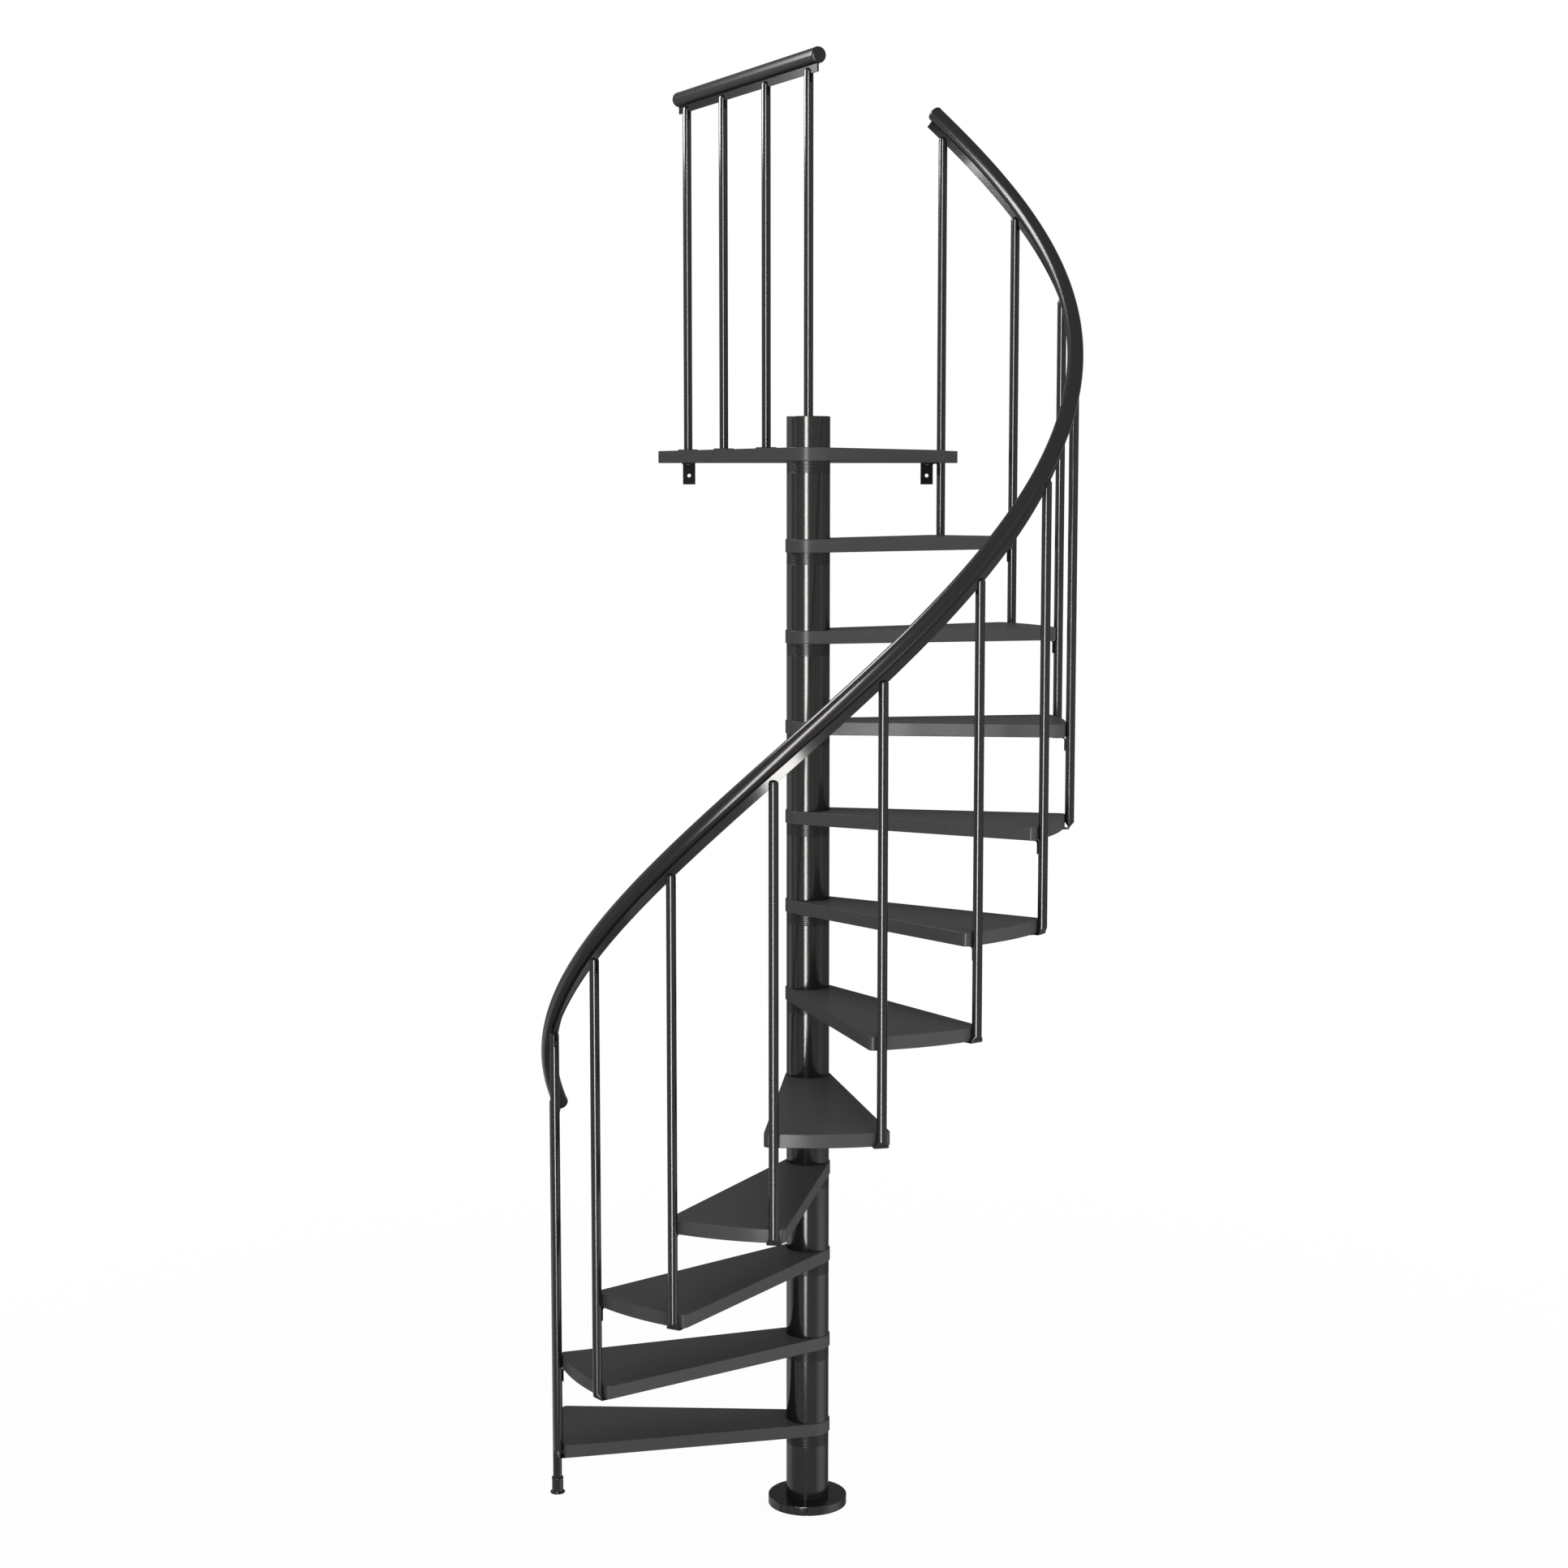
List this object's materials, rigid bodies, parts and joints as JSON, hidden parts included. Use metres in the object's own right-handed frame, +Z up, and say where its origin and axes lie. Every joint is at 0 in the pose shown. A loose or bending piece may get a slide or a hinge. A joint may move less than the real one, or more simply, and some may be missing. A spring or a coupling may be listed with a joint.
{
  "type": "spiral staircase",
  "caption": "Black spiral staircase: wedge treads on a sleeved central column, slotted balusters, a helical handrail over a flat bar, and a railed top platform with wall brackets.",
  "frame": {"origin": "on the column's axis, on the underside of the base plate at floor level", "axes": "+Z up along the column; +Y from the column to the platform's far edge; +X to the right of someone who stands in front of the stair and looks along +Y"},
  "size_m": [1.3915, 1.4406, 3.787],
  "materials": {
    "black_steel": "satin black powder coat",
    "tread_board": "board lacquered in matt anthracite",
    "handrail_plastic": "satin black extruded profile",
    "black_plastic": "satin black moulding"
  },
  "bodies": {
    "root": {"base_plate": "black_steel", "base_cover_left": "black_steel", "base_cover_right": "black_steel", "core_post": "black_steel", "column_sleeves": "black_steel", "spacer_rings_odd": "black_plastic", "spacer_rings_even": "black_plastic", "column_cap": "black_steel", "tread_01": "tread_board", "tread_02": "tread_board", "tread_03": "tread_board", "tread_04": "tread_board", "tread_05": "tread_board", "tread_06": "tread_board", "tread_07": "tread_board", "tread_08": "tread_board", "tread_09": "tread_board", "tread_10": "tread_board", "tread_11": "tread_board", "platform": "tread_board", "floor_foot": "black_plastic", "baluster_00": "black_steel", "baluster_01": "black_steel", "baluster_02": "black_steel", "baluster_03": "black_steel", "baluster_04": "black_steel", "baluster_05": "black_steel", "baluster_06": "black_steel", "baluster_07": "black_steel", "baluster_08": "black_steel", "baluster_09": "black_steel", "baluster_10": "black_steel", "baluster_11": "black_steel", "landing_baluster_1": "black_steel", "landing_baluster_2": "black_steel", "landing_baluster_3": "black_steel", "landing_baluster_4": "black_steel", "landing_rosettes": "black_plastic", "tread_brackets": "black_steel", "platform_tie": "black_steel", "wall_brackets": "black_steel", "handrail": "handrail_plastic", "handrail_bar": "black_steel", "landing_rail": "handrail_plastic", "landing_bar": "black_steel"}
  },
  "joints": []
}
